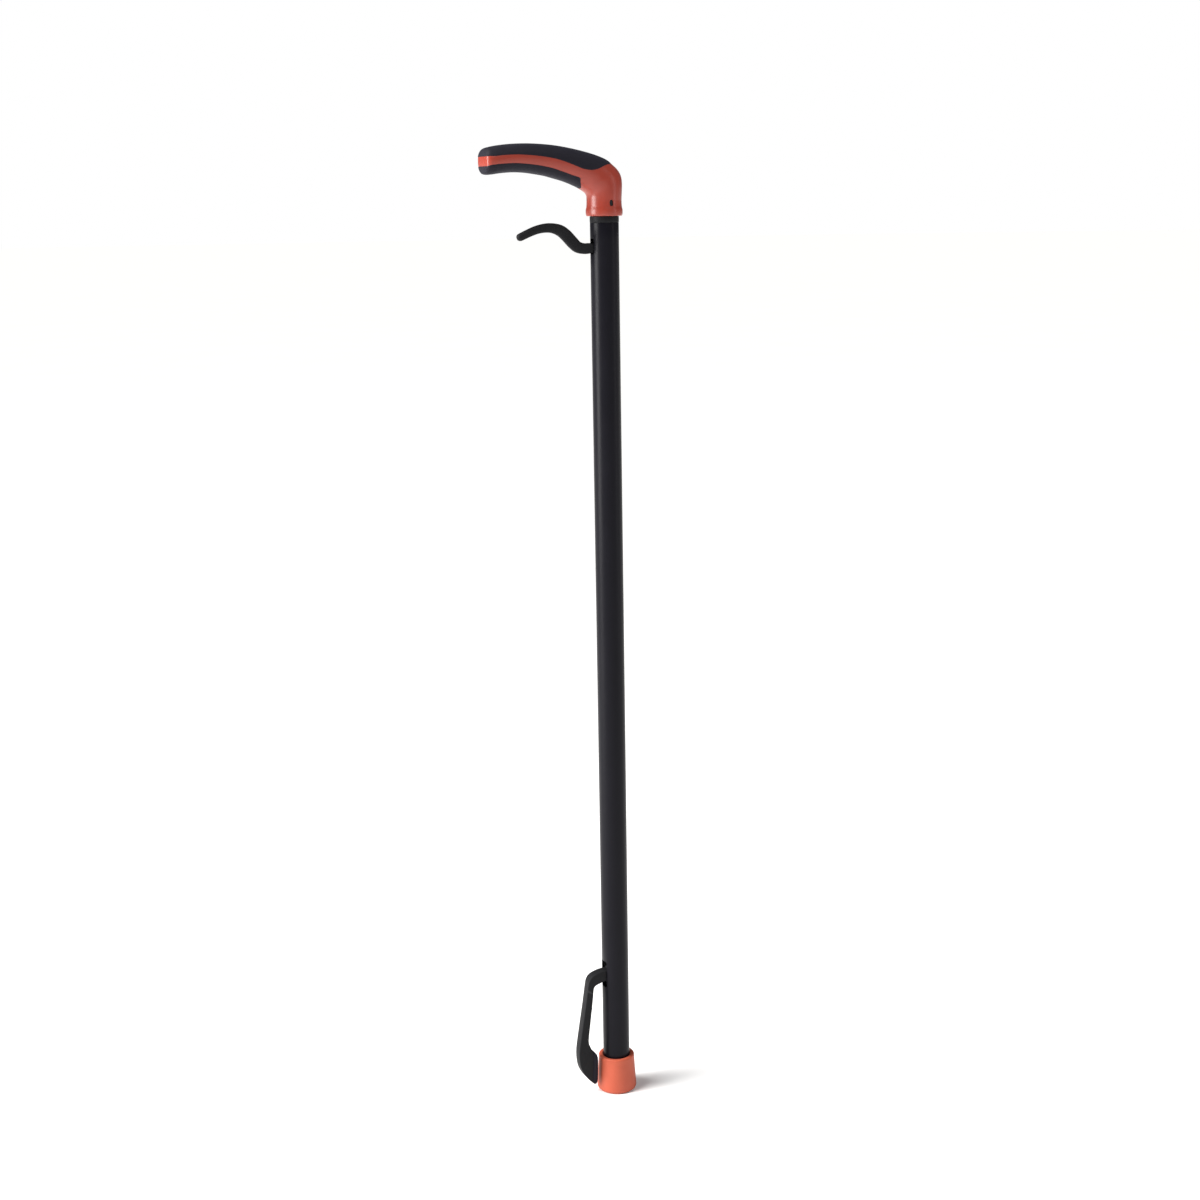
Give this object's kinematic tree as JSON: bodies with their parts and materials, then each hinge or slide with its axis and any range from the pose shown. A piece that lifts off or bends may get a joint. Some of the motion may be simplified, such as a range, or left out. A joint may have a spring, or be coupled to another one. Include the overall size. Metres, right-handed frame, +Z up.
{
  "type": "reaching stick with cane handle",
  "caption": "Walking-stick-handled reacher: a trigger under the grip pushes a rod in the tube that swings a hooked jaw away from the rubber ferrule, and a spring closes it.",
  "frame": {"origin": "centre of the ferrule's floor face", "axes": "+Z up the tube, -X the way the grip, trigger and jaw point, Y across the grip"},
  "size_m": [0.131, 0.0372, 0.8778],
  "materials": {
    "orange_shell": "satin moulded",
    "soft_black": "matte soft-touch",
    "black_nylon": "fine moulded grain",
    "dark_tube": "dark satin coat",
    "steel": "bright zinc",
    "white_guide": "moulded",
    "orange_rubber": "moulded rubber"
  },
  "bodies": {
    "frame": {"handle_core": "orange_shell", "grip_top_pad": "soft_black", "grip_bottom_pad": "soft_black", "top_insert": "black_nylon", "main_tube": "dark_tube", "trigger_pin": "steel", "rod_guide_upper": "white_guide", "rod_guide_spring": "white_guide", "rod_guide_mid": "white_guide", "spring_seat": "steel", "return_spring": "steel", "jaw_carrier": "black_nylon", "jaw_pin": "steel", "foot_plug": "black_nylon", "ferrule_washer": "steel", "ferrule": "orange_rubber"},
    "trigger": {"trigger": "black_nylon", "trigger_link_pin": "steel"},
    "rod": {"push_rod": "steel", "rod_end_top": "steel", "rod_end_bottom": "steel", "lock_nut_top": "steel", "lock_nut_bottom": "steel", "spring_collar": "steel", "collar_clip": "steel"},
    "jaw": {"jaw": "black_nylon", "jaw_pad": "soft_black", "jaw_link_pin": "steel"}
  },
  "joints": [
    {"name": "rod_slide", "type": "slide", "parent": "frame", "child": "rod", "axis": [0, 0, -1], "range_m": [0, 0.00363], "stiffness_N_per_m": 600, "springref_m": -0.008, "deforming": ["return_spring"]},
    {"name": "trigger_pivot", "type": "hinge", "parent": "frame", "child": "trigger", "pos_m": [-0.0065, 0, 0.79], "axis": [0, 1, 0], "range_deg": [0, 22.1]},
    {"name": "jaw_pivot", "type": "hinge", "parent": "frame", "child": "jaw", "pos_m": [-0.004, 0, 0.119], "axis": [0, 1, 0], "range_deg": [0, 30.1]}
  ],
  "couplings": [
    {"joint": "trigger_pivot", "follows": "rod_slide", "rad_per_m": 105.92},
    {"joint": "jaw_pivot", "follows": "rod_slide", "rad_per_m": 144.5}
  ]
}
